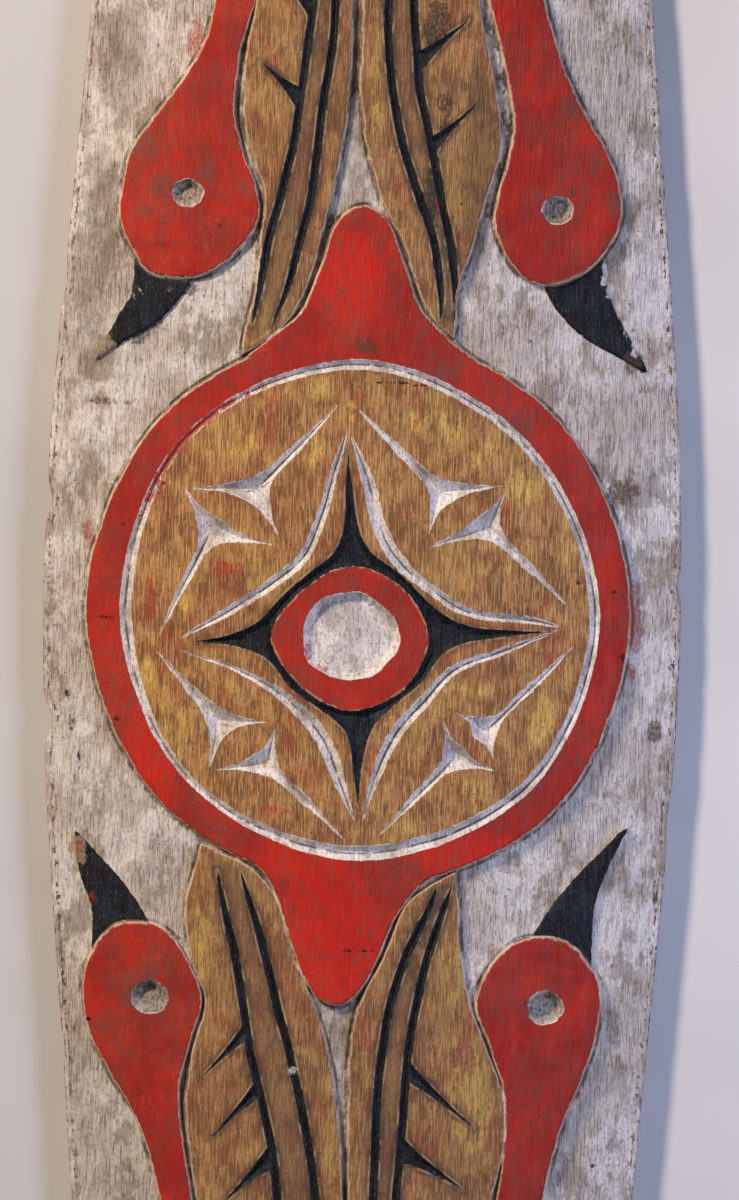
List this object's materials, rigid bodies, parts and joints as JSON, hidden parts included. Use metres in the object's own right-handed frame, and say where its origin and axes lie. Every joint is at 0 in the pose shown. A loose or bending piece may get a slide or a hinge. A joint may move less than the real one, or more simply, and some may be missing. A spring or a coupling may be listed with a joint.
{
  "type": "ceremonial shield",
  "caption": "Long oval wooden ceremonial shield with low painted carving on its bowed face, a hollowed back and a hand bar carved in one with the board.",
  "frame": {"origin": "middle of the shield's length and width, on the plane of the rim of its back", "axes": "+Y along the board towards the end at the top of the picture, +X to the right as the face is seen, +Z out of the carved face"},
  "size_m": [0.34, 1.34, 0.051],
  "materials": {
    "painted_wood": "lime white, red, ochre and black earth paint on worn light wood"
  },
  "bodies": {
    "root": {"shield": "painted_wood"}
  },
  "joints": []
}
